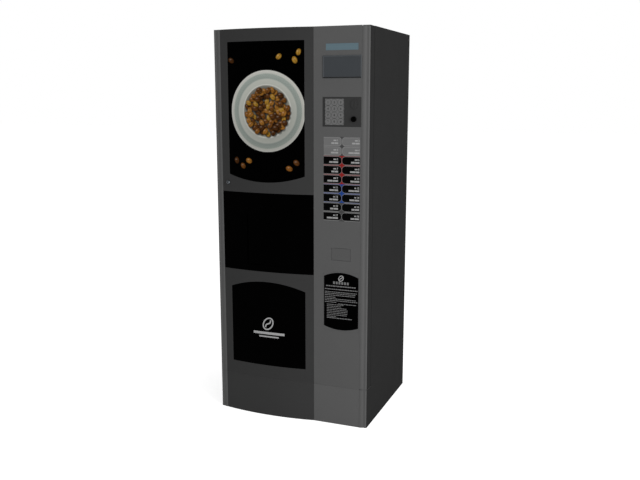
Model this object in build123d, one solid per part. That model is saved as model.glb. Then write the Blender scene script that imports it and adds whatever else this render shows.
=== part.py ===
from build123d import *
import os

# A full-height hot-drinks vending machine, in millimetres. +Z is up and the front faces -Y.
# The origin is on the floor under the middle of the machine.

# Overall size
WIDTH = 762.0
DEPTH = 656.0
HEIGHT = 1830.0
HALF_W = WIDTH / 2
BACK_Y = DEPTH / 2
BACK_INSET = 2.0
BOW_Y = -DEPTH / 2

# Front: a bowed part on the left, a flat column on the right, ribbed trims at both edges
BOW_RISE = 22.0
FLAT_Y = BOW_Y + BOW_RISE
TRIM_X = 345.0
BOW = (-TRIM_X, 119.0)
BOW_MID = sum(BOW) / 2
BOW_R = (((BOW[1] - BOW[0]) / 2) ** 2 + BOW_RISE**2) / (2 * BOW_RISE)
COLUMN = (BOW[1] + 0.2, TRIM_X)
SKIN = 3.0
SHEET = 2.0

# Levels
SKIRT_Z = 1.0
KICK_TOP = 186.5
DOOR_BOTTOM = 189.5
FRAME_TOP = 1825.6
BAY_LEVEL = (715.0, 1088.0)
TRAY_EDGE = 12.0
TRAY_Z = 30.0
TRAY_TOP = 33.0

# Cabinet sheets
STILE_X = 355.0
STILE_Z = (KICK_TOP + 5, 1820.0)
VENT_X = (-180.0, -60.0, 60.0, 180.0)
VENT_FOOT = (560.0, 1500.0)
VENT_ROWS = 8
VENT_PITCH = 14.0
VENT_SLOT = (90.0, 4.0)
WALL_HOLES = [(x, z) for x in (-150.0, 150.0) for z in (1700.0, 1750.0)]
WALL_HOLE_R = 4.5
INLET = (250.0, 120.0)
INLET_R = (18.0, 12.1)
GLAND = (310.0, 120.0)
GLAND_R = (12.0, 4.5)
FITTING_DEPTH = 18.0
FEET = [(x, y) for x in (-330.0, 330.0) for y in (-190.0, 270.0)]
FOOT_R = (22.0, 16.0)
FOOT_PAD = 9.0
FOOT_STEM_R = 6.0
FOOT_TOP = 50.0

# Ribbed edge trims: a round bead, a groove and a round outer edge
TRIM_INNER = (TRIM_X + 0.2, FLAT_Y + 0.4)
TRIM_BEAD = ((352.5, FLAT_Y), (363.0, FLAT_Y + 3.8))
TRIM_GROOVE = ((367.0, FLAT_Y + 4.6), (371.5, FLAT_Y + 4.2))
TRIM_EDGE = ((376.5, FLAT_Y + 5.0), (HALF_W, FLAT_Y + 10.6))

# Door frame and the gap behind it
FRAME_Y = (-293.0, -246.0)
CABINET_Y = -242.0
RAIL = 46.0
POST = (100.0, 140.0)
POST_OPENINGS = ((235.0, 700.0), (722.0, 1085.0), (1107.0, 1786.0))
PIVOT = (369.0, -272.0)
PIN_R = 5.0
PIN_Z = (215.0, 1800.0)
HINGE_X = (346.0, 378.5)
HINGE_Y = (-302.0, -180.0)
RUNNING = 0.06

# Delivery bay, behind a leaf that slides up
HATCH = (-213.0, -13.0)
HATCH_Z = (746.0, 986.0)
LEAF_INSET = 5.2
LEAF_T = 4.0
BAY_Y = (-313.5, -160.0)
BAY_X = (HATCH[0] + 3.0, HATCH[1] - 3.0)
BAY_Z = (738.0, 996.0)
BAY_FLANGE = (30.0, (704.0, 1103.0))
WALL = 3.0
GUIDE_FOOT = 732.0
GRILLE_Z = 752.0
GRILLE_SLOTS = 13
SPOUT_Y = (-265.0, -205.0)
SPOUT_R = 6.0

# Cup carousel on a column over the bay
TURRET = (BOW_MID, -190.0)
TURRET_R = 114.0
TURRET_Z = 1232.0
CUP_R = 35.0
CUP_RING = 76.0
CUP_TOP = 1640.0
PLATE_T = 6.0
UPPER_PLATE = 1500.0
AXLE_R = 8.0

# Control column
DISPLAY = ((177.0, 328.0), (1727.0, 1756.0))
COVER = ((163.0, 343.0), (1608.0, 1705.0))
COIN_PLATE = ((162.0, 343.0), (1397.0, 1527.0))
KEYPAD = ((173.0, 264.0), (1405.0, 1519.0))
PAD_PITCH = (30.0, 28.0)
PAD_R = 12.6
COIN_BUTTON = (309.0, 1431.0)
COIN_BUTTON_R = 12.0
COIN_ENTRY = (310.0, 1495.0)
MECH_X = (200.0, 330.0)
MECH_Z = (1010.0, 1390.0)
CHUTE_X = (295.0, 325.0)
OUTLET_X = (236.0, 266.0)
SELECTION = ((166.0, 341.0), (975.0, 1353.0))
FLAP = ((206.0, 298.0), (793.0, 849.0))
LABEL = ((170.0, 337.0), (481.0, 717.0))
LABEL_POCKET = ((166.0, 340.0), (459.0, 741.0))

# Selection keys: two columns of nine
KEY_ROWS = 9
TALL_ROWS = 2
KEY_PITCH = 42.0
KEY_H = 33.0
TALL_KEY_H = 38.0
KEY_X = ((167.5, 251.8), (256.2, 339.5))
KEY_ROUND = 14.0
KEY_GAP = 0.4
KEY_Y = (FLAT_Y - 0.4, -296.0)

# Panels let into the bowed fascias
PICTURE = ((-304.0, 78.0), (1171.0, 1773.0))
PICTURE_DROP = 33.0
PANEL_INSET = 0.4
LOWER_PANEL = ((-305.0, 79.0), (254.0, 630.0))
LOWER_RISE = 36.0
LOCK = (-314.0, 1130.0)
LOCK_R = 10.0
LOCK_FACE = -314.5
CAM_Y = (-238.5, -235.5)
CAM_DROP = 48.0

# Inside the cabinet
SHELF_Z = (560.0, 1180.0)
SHELF_X = 372.0
SHELF_Y = (20.0, 316.0)
CANISTER_X = (-300.0, -175.0, -50.0, 75.0)
CANISTER_Y = (70.0, 290.0)
CANISTER_HALF = 52.0
CANISTER_TOP = 1480.0
BOWL_Y = 80.0
BOWL_Z = (1070.0, 1130.0)
BOWL_R = 38.0
HOPPER_Y = 175.0
GRINDER_R = (62.0, 100.0)
GRINDER_H = (150.0, 330.0)
BREWER = (250.0, 150.0)
BREW_BORE = 25.5
BREW_FLOOR = 758.0
BREW_TOP = 880.0
BREW_BACK = 1080.0
PISTON_TOP = 950.0
BOILER = (-240.0, 170.0)
BOILER_R = 82.0
BOILER_H = 260.0
BUCKET = ((-300.0, -40.0), (-205.0, 8.0))
BUCKET_TOP = 360.0

LOW = (Align.CENTER, Align.CENTER, Align.MIN)


def block(x, y, z):
    """Box between the two values of each of x, y and z."""
    size = (x[1] - x[0], y[1] - y[0], z[1] - z[0])
    return Pos(sum(x) / 2, sum(y) / 2, sum(z) / 2) * Box(*size)


def rect(x, z, grow=0.0):
    """Rectangle between two values each way, made larger all round by grow."""
    return Pos(sum(x) / 2, sum(z) / 2) * Rectangle(x[1] - x[0] + 2 * grow, z[1] - z[0] + 2 * grow)


def facing(outline, y):
    """Solid of a front-view outline (X right, Z up) between two depths."""
    return extrude(Plane.XZ.offset(-y[1]) * outline, y[1] - y[0])


def standing(outline, z):
    """Solid of a plan-view outline (X right, Y to the rear) between two heights."""
    return extrude(Plane.XY.offset(z[0]) * outline, z[1] - z[0])


def disc(x, z, r):
    """Circle in a front-view or plan-view outline."""
    return Pos(x, z) * Circle(r)


def bow_band(x, inset, thickness):
    """Plan-view strip of a sheet that follows the bow, inset behind its surface."""
    ring = Circle(BOW_R - inset) - Circle(BOW_R - inset - thickness)
    return Pos(BOW_MID, BOW_Y + BOW_R) * ring & rect(x, (BOW_Y - 5, BOW_Y + 60))


def arched(x, z, drop=0.0, rise=0.0, grow=0.0):
    """Front-view outline with a bottom edge that sags by drop and a top that rises by rise."""
    x = (x[0] - grow, x[1] + grow)
    z = (z[0] - grow, z[1] + grow)
    middle = sum(x) / 2
    sides = [Line((x[0], z[1]), (x[0], z[0])), Line((x[1], z[0]), (x[1], z[1]))]
    if drop:
        bottom = ThreePointArc((x[0], z[0]), (middle, z[0] - drop), (x[1], z[0]))
    else:
        bottom = Line((x[0], z[0]), (x[1], z[0]))
    if rise:
        top = ThreePointArc((x[1], z[1]), (middle, z[1] + rise), (x[0], z[1]))
    else:
        top = Line((x[1], z[1]), (x[0], z[1]))
    return make_face(sides + [bottom, top])


def mirrored(part):
    """The same piece at the other side of the machine."""
    return mirror(part, about=Plane.YZ)


# Cabinet


def side_panel():
    """Right side: a steel sheet with a stile spot-welded inside its front edge."""
    inner = HALF_W - SHEET
    sheet = block((inner, HALF_W), (CABINET_Y, BACK_Y), (SKIRT_Z, HEIGHT))
    stile = block((STILE_X, inner), (CABINET_Y, CABINET_Y + SHEET), STILE_Z)
    return Compound(children=[sheet, stile])


def back_panel():
    """Rear sheet with vent slots, water inlet, cable gland and wall-bracket holes."""
    inner = HALF_W - SHEET
    y = (BACK_Y - BACK_INSET - SHEET, BACK_Y - BACK_INSET)
    panel = block((-inner, inner), y, (SKIRT_Z, HEIGHT - SHEET))
    levels = [foot + step * VENT_PITCH for foot in VENT_FOOT for step in range(VENT_ROWS)]
    slots = [Pos(x, z) * SlotOverall(*VENT_SLOT) for x in VENT_X for z in levels]
    holes = [disc(x, z, WALL_HOLE_R) for x, z in WALL_HOLES]
    panel -= facing(Sketch() + slots + holes, (y[0] - 1, y[1] + 1))
    inside = BACK_Y - FITTING_DEPTH
    for (x, z), (outer, bore) in ((INLET, INLET_R), (GLAND, GLAND_R)):
        panel += facing(disc(x, z, outer), (inside, BACK_Y))
        panel -= facing(disc(x, z, bore), (inside - 1, BACK_Y + 1))
    return panel


def top_panel():
    inner = HALF_W - SHEET
    return block((-inner, inner), (CABINET_Y, BACK_Y), (HEIGHT - SHEET, HEIGHT))


def base_tray():
    """Floor of the cabinet, folded down at its edges, with a hole over each foot."""
    inner = HALF_W - SHEET
    x = (-inner, inner)
    y = (CABINET_Y + SHEET, BACK_Y - BACK_INSET - SHEET)
    tray = block(x, y, (TRAY_EDGE, TRAY_TOP))
    hollow = ((x[0] + SHEET, x[1] - SHEET), (y[0] + SHEET, y[1] - SHEET))
    tray -= block(*hollow, (TRAY_EDGE - 1, TRAY_Z))
    for foot in FEET:
        tray -= standing(disc(*foot, FOOT_STEM_R + 0.5), (TRAY_Z - 1, TRAY_TOP + 1))
    return tray


def levelling_feet():
    """Four threaded feet, each a pad, a stem and a nut under the tray."""
    feet = []
    for x, y in FEET:
        foot = Pos(x, y) * Cone(*FOOT_R, FOOT_PAD, align=LOW)
        foot += standing(disc(x, y, FOOT_STEM_R), (FOOT_PAD, FOOT_TOP))
        foot += standing(Pos(x, y) * RegularPolygon(11, 6), (TRAY_Z - 8, TRAY_Z))
        feet.append(foot)
    return Compound(children=feet)


def trim_face(sign=1):
    """Plan of an edge trim: a bead beside the fascia, a groove and a rounded corner."""
    edges = [
        Line((TRIM_INNER[0], FRAME_Y[0]), TRIM_INNER),
        ThreePointArc(TRIM_INNER, *TRIM_BEAD),
        ThreePointArc(TRIM_BEAD[1], *TRIM_GROOVE),
        ThreePointArc(TRIM_GROOVE[1], *TRIM_EDGE),
        Polyline(TRIM_EDGE[1], (HALF_W, FRAME_Y[0]), (TRIM_INNER[0], FRAME_Y[0])),
    ]
    face = make_face(edges)
    return face if sign > 0 else mirror(face, about=Plane.YZ)


def kick_plate(sign):
    """Half of the plinth below the door: skin, corner trim shape, side return and deck."""
    x = COLUMN if sign > 0 else BOW
    if sign > 0:
        outer = rect(x, (FLAT_Y, CABINET_Y - 0.5))
        inner = rect((x[0] - 1, x[1] + 31), (FLAT_Y + SKIN, CABINET_Y + 1))
    else:
        disc_r = Pos(BOW_MID, BOW_Y + BOW_R) * Circle(BOW_R)
        disc_in = Pos(BOW_MID, BOW_Y + BOW_R) * Circle(BOW_R - SKIN)
        outer = disc_r & rect(x, (BOW_Y - 1, CABINET_Y - 0.5))
        inner = disc_in & rect((x[0] + 1, x[1] + 1), (BOW_Y - 1, CABINET_Y + 1))
        inner += rect((x[0] - 31, x[0] + 2), (FLAT_Y + SKIN, CABINET_Y + 1))
    corner = trim_face() + rect((TRIM_X, HALF_W), (FRAME_Y[0], CABINET_Y - 0.5))
    corner += rect((TRIM_X, TRIM_X + 0.3), (TRIM_INNER[1] + 0.2, FRAME_Y[0]))
    corner -= rect((TRIM_X - 1, HALF_W - SHEET - 0.5), (FRAME_Y[0], CABINET_Y + 1))
    if sign < 0:
        corner = mirror(corner, about=Plane.YZ)
    plate = standing(outer - inner, (SKIRT_Z, KICK_TOP)) + standing(corner, (SKIRT_Z, KICK_TOP))
    end = (TRIM_X, HALF_W - SHEET - 0.5)
    deck = rect(end if sign > 0 else (-end[1], -end[0]), (FRAME_Y[0], CABINET_Y - 0.5))
    return plate + standing(outer + deck, (KICK_TOP - SKIN, KICK_TOP))


def hinge_plates():
    """Top and bottom pivot plates of the door, each with its welded pin."""
    under = FRAME_TOP + 0.4
    top = block(HINGE_X, (HINGE_Y[0], CABINET_Y), (under, HEIGHT))
    top += block(HINGE_X, (CABINET_Y, HINGE_Y[1]), (under, HEIGHT - SHEET))
    top += standing(disc(*PIVOT, PIN_R), (PIN_Z[1], under))
    over = DOOR_BOTTOM - 0.5
    bottom = block(HINGE_X, (HINGE_Y[0], CABINET_Y - 1), (KICK_TOP, over))
    bottom += standing(disc(*PIVOT, PIN_R), (over, PIN_Z[0]))
    return Compound(children=[top, bottom])


def equipment_shelf():
    """Inner frame: two uprights on the tray and two shelves between them."""
    frame = block((-SHELF_X, SHELF_X), SHELF_Y, (TRAY_TOP, SHELF_Z[1]))
    span = (SHEET - SHELF_X, SHELF_X - SHEET)
    deep = (SHELF_Y[0] - 1, SHELF_Y[1] + 1)
    frame -= block(span, deep, (TRAY_TOP - 1, SHELF_Z[0] - SKIN))
    frame -= block(span, deep, (SHELF_Z[0], SHELF_Z[1] - SKIN))
    return frame


def ingredient_canisters():
    """Four powder canisters with lids and front outlets."""
    canisters = []
    half, lid = CANISTER_HALF, CANISTER_HALF + 4
    for x in CANISTER_X:
        body = block((x - half, x + half), CANISTER_Y, (SHELF_Z[1], CANISTER_TOP))
        lid_y = (CANISTER_Y[0] - 4, CANISTER_Y[1] + 4)
        body += block((x - lid, x + lid), lid_y, (CANISTER_TOP, CANISTER_TOP + 14))
        body += block((x - 20, x + 20), (CANISTER_Y[0] - 34, CANISTER_Y[0]), (SHELF_Z[1], SHELF_Z[1] + 46))
        canisters.append(body)
    return Compound(children=canisters)


def mixing_bowls():
    """Four powder mixers that hang below the canisters' outlets."""
    bowls = []
    foot, rim = BOWL_Z
    for x in CANISTER_X:
        bowl = Pos(x, BOWL_Y, rim) * Cylinder(BOWL_R, SHELF_Z[1] - SKIN - rim, align=LOW)
        bowl += Pos(x, BOWL_Y, foot) * Cone(12, BOWL_R, rim - foot, align=LOW)
        bowl += block((x - 7, x + 7), (BOWL_Y - 58, BOWL_Y), (foot + 8, foot + 22))
        bowls.append(bowl)
    return Compound(children=bowls)


def coffee_grinder():
    """Grinder body with its bean hopper and lid."""
    at = Pos(BREWER[0], HOPPER_Y, SHELF_Z[1])
    low, top = GRINDER_H
    grinder = at * Cylinder(GRINDER_R[0], low, align=LOW)
    grinder += at * Pos(0, 0, low) * Cone(*GRINDER_R, top - low, align=LOW)
    return grinder + at * Pos(0, 0, top) * Cylinder(GRINDER_R[1] + 3, 12, align=LOW)


def brew_unit():
    """Block with the infusion cylinder and its guide posts."""
    x, y = BREWER
    unit = block((x - 70, x + 70), (y - 60, y + 60), (SHELF_Z[0], BREW_TOP))
    unit += block((x - 50, x + 50), (y + 44, y + 60), (BREW_TOP, BREW_BACK))
    return unit - standing(disc(x, y, BREW_BORE), (BREW_FLOOR, BREW_TOP + 1))


def brew_piston():
    """Piston that closes the infusion cylinder from above, with its drive head."""
    x, y = BREWER
    piston = standing(disc(x, y, BREW_BORE - 0.5), (BREW_FLOOR + 1, PISTON_TOP))
    return piston + block((x - 36, x + 36), (y - 30, y + 36), (PISTON_TOP, PISTON_TOP + 24))


def water_boiler():
    at = Pos(*BOILER, SHELF_Z[0])
    boiler = at * Cylinder(BOILER_R, BOILER_H, align=LOW)
    boiler += at * Pos(0, 0, BOILER_H) * Cone(BOILER_R, 40, 30, align=LOW)
    return boiler + at * Pos(0, 0, BOILER_H + 30) * Cylinder(9, 34, align=LOW)


def waste_bucket():
    z = (TRAY_TOP, BUCKET_TOP)
    x, y = BUCKET
    inside = ((x[0] + WALL, x[1] - WALL), (y[0] + WALL, y[1] - WALL))
    bucket = block(x, y, z) + block((x[0] - 6, x[1] + 6), (y[0] - 6, y[1] + 6), (z[1] - 8, z[1]))
    return bucket - block(*inside, (z[0] + WALL, z[1] + 1))


# Door


def frame_view(inset):
    """Front view of the door frame; inset shrinks every rail by that much on each side."""
    edge = HALF_W - RAIL
    view = rect((-HALF_W, HALF_W), (DOOR_BOTTOM, FRAME_TOP), -inset)
    columns = ((-edge, POST[0]), (POST[1], edge))
    levels = (POST_OPENINGS, ((POST_OPENINGS[0][0], POST_OPENINGS[-1][1]),))
    for x, heights in zip(columns, levels):
        for z in heights:
            view -= rect(x, z, inset)
    return view


def door_frame():
    """Folded steel frame, open at the rear, with bushes for the hinge pins."""
    frame = facing(frame_view(0.0), FRAME_Y)
    frame -= facing(frame_view(SHEET), (FRAME_Y[0] + SHEET, FRAME_Y[1] + 1))
    return frame - standing(disc(*PIVOT, PIN_R + RUNNING), (DOOR_BOTTOM - 1, FRAME_TOP + 1))


def door_trims():
    """Edge trims of the door; the right one ends under the top hinge plate."""
    left = standing(trim_face(-1), (DOOR_BOTTOM, HEIGHT))
    right = standing(trim_face(1), (DOOR_BOTTOM, FRAME_TOP))
    return Compound(children=[left, right])


def bowed_skin(z, top_fold=False):
    """Bowed sheet between two heights with a fold at each side back to the door frame."""
    skin = standing(bow_band(BOW, 0, SKIN), z)
    for x in ((BOW[0], BOW[0] + SKIN), (BOW[1] - SKIN, BOW[1])):
        skin += block(x, (FLAT_Y + 1.5, FRAME_Y[0]), z)
    if top_fold:
        inside = Pos(BOW_MID, BOW_Y + BOW_R) * Circle(BOW_R - 1)
        plan = inside & rect((BOW[0] + 1, BOW[1] - 1), (BOW_Y, FRAME_Y[1]))
        skin += standing(plan, (z[1] - SKIN, z[1]))
    return skin


def let_in_panel(outline, wider):
    """Bowed panel just below its window's edge, with a wider lip behind the fascia."""
    x = (BOW[0] + 8, BOW[1] - 8)
    band = standing(bow_band(x, PANEL_INSET, SKIN - PANEL_INSET), (DOOR_BOTTOM, HEIGHT))
    front = band & facing(outline, (BOW_Y - 1, -290))
    lip = standing(bow_band(x, SKIN, 1.5), (DOOR_BOTTOM, HEIGHT)) & facing(wider, (BOW_Y - 1, -290))
    return front + lip


def upper_fascia():
    skin = bowed_skin((BAY_LEVEL[1] + 0.2, HEIGHT), top_fold=True)
    window = arched(*PICTURE, drop=PICTURE_DROP, grow=0.3)
    return skin - facing(window + disc(*LOCK, LOCK_R + 0.4), (BOW_Y - 1, -296))


def picture_panel():
    window = arched(*PICTURE, drop=PICTURE_DROP)
    return let_in_panel(window, arched(*PICTURE, drop=PICTURE_DROP, grow=6))


def lower_fascia():
    skin = bowed_skin((DOOR_BOTTOM, BAY_LEVEL[0] - 0.2))
    return skin - facing(arched(*LOWER_PANEL, rise=LOWER_RISE, grow=0.3), (BOW_Y - 1, -296))


def lower_panel():
    window = arched(*LOWER_PANEL, rise=LOWER_RISE)
    return let_in_panel(window, arched(*LOWER_PANEL, rise=LOWER_RISE, grow=6))


def delivery_surround():
    """Gloss panel across the bay, with guides and a bottom stop for the sliding leaf."""
    skin = bowed_skin(BAY_LEVEL) - facing(rect(HATCH, HATCH_Z), (BOW_Y - 1, -296))
    leaf_x = (HATCH[0] - 5, HATCH[1] + 5)
    for x in ((leaf_x[0] - 5, leaf_x[0] - 1), (leaf_x[1] + 1, leaf_x[1] + 5)):
        skin += standing(bow_band(x, SKIN - 0.5, 8), (GUIDE_FOOT, BAY_LEVEL[1]))
    return skin + standing(bow_band(leaf_x, SKIN - 0.5, 6.5), (GUIDE_FOOT, HATCH_Z[0] - 6.3))


def delivery_door():
    """Curved leaf that slides up behind the surround, with a finger lip at its foot."""
    x = (HATCH[0] - 5, HATCH[1] + 5)
    leaf = standing(bow_band(x, LEAF_INSET, LEAF_T), (HATCH_Z[0] - 6, HATCH_Z[1] + 4))
    grip = (BOW_MID - 45, BOW_MID + 45)
    return leaf + standing(bow_band(grip, 0, LEAF_INSET + 1), (HATCH_Z[0] + 4, HATCH_Z[0] + 14))


def delivery_bay():
    """Moulded box behind the hatch: mounting flange, drip sump and the carousel's column."""
    x, y, z = BAY_X, BAY_Y, BAY_Z
    bay = block((x[0] - WALL, x[1] + WALL), y, (z[0] - WALL, z[1] + WALL))
    wide, level = BAY_FLANGE
    bay += block((x[0] - wide, x[1] + wide), (FRAME_Y[0] - WALL, FRAME_Y[0]), level)
    bay -= block(x, (y[0] - 1, y[1] - WALL), z)
    for side in ((x[0], x[0] + 5), (x[1] - 5, x[1])):
        bay += block(side, (y[0] + 2, y[1] - WALL), (z[0], GRILLE_Z))
    column = standing(disc(*TURRET, 14), (z[1] + WALL - 1, TURRET_Z - 1))
    return bay + column + standing(disc(*TURRET, AXLE_R), (TURRET_Z - 2, TURRET_Z + 24))


def drip_grille():
    """Slotted cup stand over the sump."""
    x = (BAY_X[0] + 0.5, BAY_X[1] - 0.5)
    y = (BAY_Y[0] + 4, BAY_Y[1] - WALL - 0.5)
    grille = block(x, y, (GRILLE_Z, GRILLE_Z + 4))
    pitch = (x[1] - x[0]) / GRILLE_SLOTS
    for index in range(GRILLE_SLOTS):
        middle = x[0] + pitch * (index + 0.5)
        slot = (middle - 3, middle + 3)
        grille -= block(slot, (y[0] + 10, y[1] - 10), (GRILLE_Z - 1, GRILLE_Z + 5))
    return grille


def dispensing_spouts():
    """Manifold under the bay's ceiling with three nozzles."""
    top = BAY_Z[1]
    spouts = block((BOW_MID - 48, BOW_MID + 48), SPOUT_Y, (top - 22, top))
    for x in (-26, 0, 26):
        nozzle = disc(BOW_MID + x, sum(SPOUT_Y) / 2, SPOUT_R)
        spouts += standing(nozzle, (top - 38, top - 20))
    return spouts


def control_fascia():
    """Flat column with its cut-outs, the label's pocket and folds to the frame."""
    z = (DOOR_BOTTOM, HEIGHT)
    plate = block(COLUMN, (FLAT_Y, FLAT_Y + SKIN), z)
    cuts = rect(*DISPLAY) + rect(*COIN_PLATE) + rect(*SELECTION) + arched(*FLAP, rise=2.0)
    plate -= facing(cuts, (FLAT_Y - 1, FLAT_Y + SKIN + 1))
    plate -= facing(rect(*LABEL_POCKET), (FLAT_Y - 1, FLAT_Y + 0.8))
    for x in ((COLUMN[0], COLUMN[0] + SKIN), (COLUMN[1] - SKIN, COLUMN[1])):
        plate += block(x, (FLAT_Y + SKIN, FRAME_Y[0]), (DOOR_BOTTOM, FRAME_TOP))
    return plate + block((COLUMN[0], 330), (FLAT_Y + 1, FRAME_Y[1]), (HEIGHT - SKIN, HEIGHT))


def fitted(window, front, lip=4.0):
    """Plate flush in a window of the column, with a lip behind the fascia."""
    x, z = window
    inner = FLAT_Y + SKIN
    plate = facing(rect(x, z, -0.2), (front, inner))
    lip_x = (x[0] - lip, min(x[1] + lip, COLUMN[1] - SKIN - 0.2))
    return plate + block(lip_x, (inner, inner + 1.5), (z[0] - lip, z[1] + lip))


def display_window():
    return fitted(DISPLAY, FLAT_Y + 0.6)


def payment_cover():
    """Raised cover plate with bevelled edges over the card-reader place."""
    x, z = COVER
    cover = block(x, (FLAT_Y - 3, FLAT_Y), z)
    front = cover.faces().sort_by(Axis.Y)[0]
    cover = chamfer(front.edges(), 2.0)
    return cover - block((x[0] + 6, x[1] - 6), (FLAT_Y - 4, FLAT_Y - 1), (z[0] + 2, z[0] + 8))


def coin_plate():
    """Plate round the keypad, with the coin entry's raised oval and the button's hole."""
    front = FLAT_Y - 0.5
    plate = fitted(COIN_PLATE, front)
    plate += facing(Pos(*COIN_ENTRY) * Ellipse(14.5, 20.5), (front - 3, front + 1))
    slot = Pos(*COIN_ENTRY) * Rectangle(3.6, 30)
    hole = disc(*COIN_BUTTON, COIN_BUTTON_R + 0.4)
    return plate - facing(slot + hole, (front - 4, FLAT_Y + 6))


def pad_centres():
    x = sum(KEYPAD[0]) / 2
    z = sum(KEYPAD[1]) / 2
    columns = [x + PAD_PITCH[0] * step for step in (-1, 0, 1)]
    rows = [z + PAD_PITCH[1] * step for step in (1.5, 0.5, -0.5, -1.5)]
    return [(column, row) for row in rows for column in columns]


def keypad_membrane():
    """One-piece sealed keypad with twelve shallow domes."""
    front = FLAT_Y - 0.5
    pad = facing(rect(*KEYPAD), (front - 1.2, front))
    for x, z in pad_centres():
        pad += facing(disc(x, z, PAD_R), (front - 1.8, front - 1))
    return pad


def coin_return_button():
    """Domed push button with a stem and a retaining collar."""
    x, z = COIN_BUTTON
    dome = Pos(x, -300, z) * Sphere(17.5) & facing(disc(x, z, COIN_BUTTON_R), (-330, -299))
    stem = facing(disc(x, z, 6), (-300, -284))
    return dome + stem + facing(disc(x, z, COIN_BUTTON_R + 2.5), (-301.2, -299))


def key_view(row, side, grow=0.0):
    """Front view of a key: square outer end, rounded inner end."""
    middle = SELECTION[1][1] - KEY_PITCH * (row + 0.5)
    height = TALL_KEY_H if row < TALL_ROWS else KEY_H
    view = rect(KEY_X[side], (middle - height / 2, middle + height / 2), grow)
    inner = view.vertices().group_by(Axis.X)[-1 if side == 0 else 0]
    return fillet(inner, KEY_ROUND + grow)


def selection_bezel():
    """Plate with an aperture round each key."""
    bezel = fitted(SELECTION, FLAT_Y + 0.4)
    for row in range(KEY_ROWS):
        for side in (0, 1):
            bezel -= facing(key_view(row, side, KEY_GAP), (FLAT_Y - 1, FLAT_Y + 6))
    return bezel


def selection_key(row, side):
    """Push key with a retaining collar behind the bezel."""
    collar = (FLAT_Y + SKIN + 1.8, FLAT_Y + SKIN + 3.4)
    return facing(key_view(row, side), KEY_Y) + facing(key_view(row, side, 1.4), collar)


def coin_return_flap():
    """Flap that swings inwards on a cross pin at its top edge."""
    (x0, x1), (z0, z1) = FLAP
    plate = facing(arched((x0 + 1, x1 - 1), (z0 + 1.2, z1 - 0.8), rise=1.6), (FLAT_Y + 0.2, FLAT_Y + 2.4))
    pin_y, pin_z = FLAT_Y + 5.5, z1 - 3
    ears = block((x0 + 1, x1 - 1), (FLAT_Y + 2, pin_y), (pin_z - 2.5, pin_z + 2.5))
    along_x = Pos((x0 + x1) / 2, pin_y, pin_z) * Rot(0, 90, 0)
    return plate + ears + along_x * Cylinder(2.5, x1 - x0 + 3) + along_x * Cylinder(1.5, x1 - x0 + 12)


def coin_return_cup():
    """Moulded pocket behind the flap, with bearings for the flap's pin."""
    (x0, x1), (z0, z1) = FLAP
    inside = (x0 - 3, x1 + 3)
    y = (FLAT_Y + SKIN, -240.0)
    cup = block((inside[0] - 4, inside[1] + 4), y, (z0 - 6, z1 + 10))
    cup += block((inside[0] - 8, inside[1] + 8), (y[0], y[0] + 1.5), (z0 - 10, z1 + 14))
    cup -= block(inside, (y[0] - 1, y[1] - 3), (z0 - 3, z1 + 7))
    pin = Pos((x0 + x1) / 2, FLAT_Y + 5.5, z1 - 3) * Rot(0, 90, 0)
    return cup - pin * Cylinder(1.5 + RUNNING, x1 - x0 + 12.4)


def coin_mechanism():
    """Coin validator on its bracket, with a funnel and chute above and a return chute below."""
    rear = FRAME_Y[1]
    validator = block(MECH_X, (-290, rear), MECH_Z)
    changer = block(MECH_X, (rear + 3, -180), MECH_Z)
    bracket = block((POST[0] + 20, TRIM_X), (rear, rear + 3), MECH_Z)
    funnel = block(CHUTE_X, (-298, -260), (COIN_ENTRY[1] - 21, COIN_ENTRY[1] + 21))
    entry = block(CHUTE_X, (-276, -260), (MECH_Z[1], COIN_ENTRY[1] - 21))
    outlet = block(OUTLET_X, (-290, -270), (FLAP[1][1] + 10, MECH_Z[0]))
    return Compound(children=[validator, changer, bracket, funnel, entry, outlet])


def instruction_plate():
    """Thin arched label plate in its pocket."""
    plate = arched(*LABEL, drop=16, rise=19)
    return facing(plate, (FLAT_Y - 0.2, FLAT_Y + 0.8))


def lock_barrel():
    """Cam lock: bezel, barrel, spindle and a cam that hangs down when unlocked."""
    x, z = LOCK
    keyway = rect((x - 1.2, x + 1.2), (z - 5, z + 5))
    lock = facing(disc(x, z, LOCK_R), (LOCK_FACE, -288))
    lock -= facing(keyway, (LOCK_FACE - 1, LOCK_FACE + 3))
    lock += facing(disc(x, z, 5), (-289, CAM_Y[1]))
    return lock + block((x - 8, x + 8), CAM_Y, (z - CAM_DROP, z + 8))


def cup_turret():
    """Carousel: base plate with hub, centre tube and a top plate with six cup holes."""
    top = UPPER_PLATE + PLATE_T
    turret = standing(disc(*TURRET, TURRET_R), (TURRET_Z, TURRET_Z + PLATE_T))
    upper = disc(*TURRET, TURRET_R)
    for x, y in cup_centres():
        upper -= disc(x, y, CUP_R + 2)
    turret += standing(upper, (UPPER_PLATE, top)) + standing(disc(*TURRET, 16), (TURRET_Z, top))
    return turret - standing(disc(*TURRET, AXLE_R + RUNNING), (TURRET_Z - 1, TURRET_Z + 26))


def cup_centres():
    spots = [Vector(CUP_RING, 0, 0).rotate(Axis.Z, 60 * index) for index in range(6)]
    return [(TURRET[0] + spot.X, TURRET[1] + spot.Y) for spot in spots]


def cup_stacks():
    floor = TURRET_Z + PLATE_T
    stacks = [standing(disc(x, y, CUP_R), (floor, CUP_TOP)) for x, y in cup_centres()]
    return Compound(children=stacks)


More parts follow.
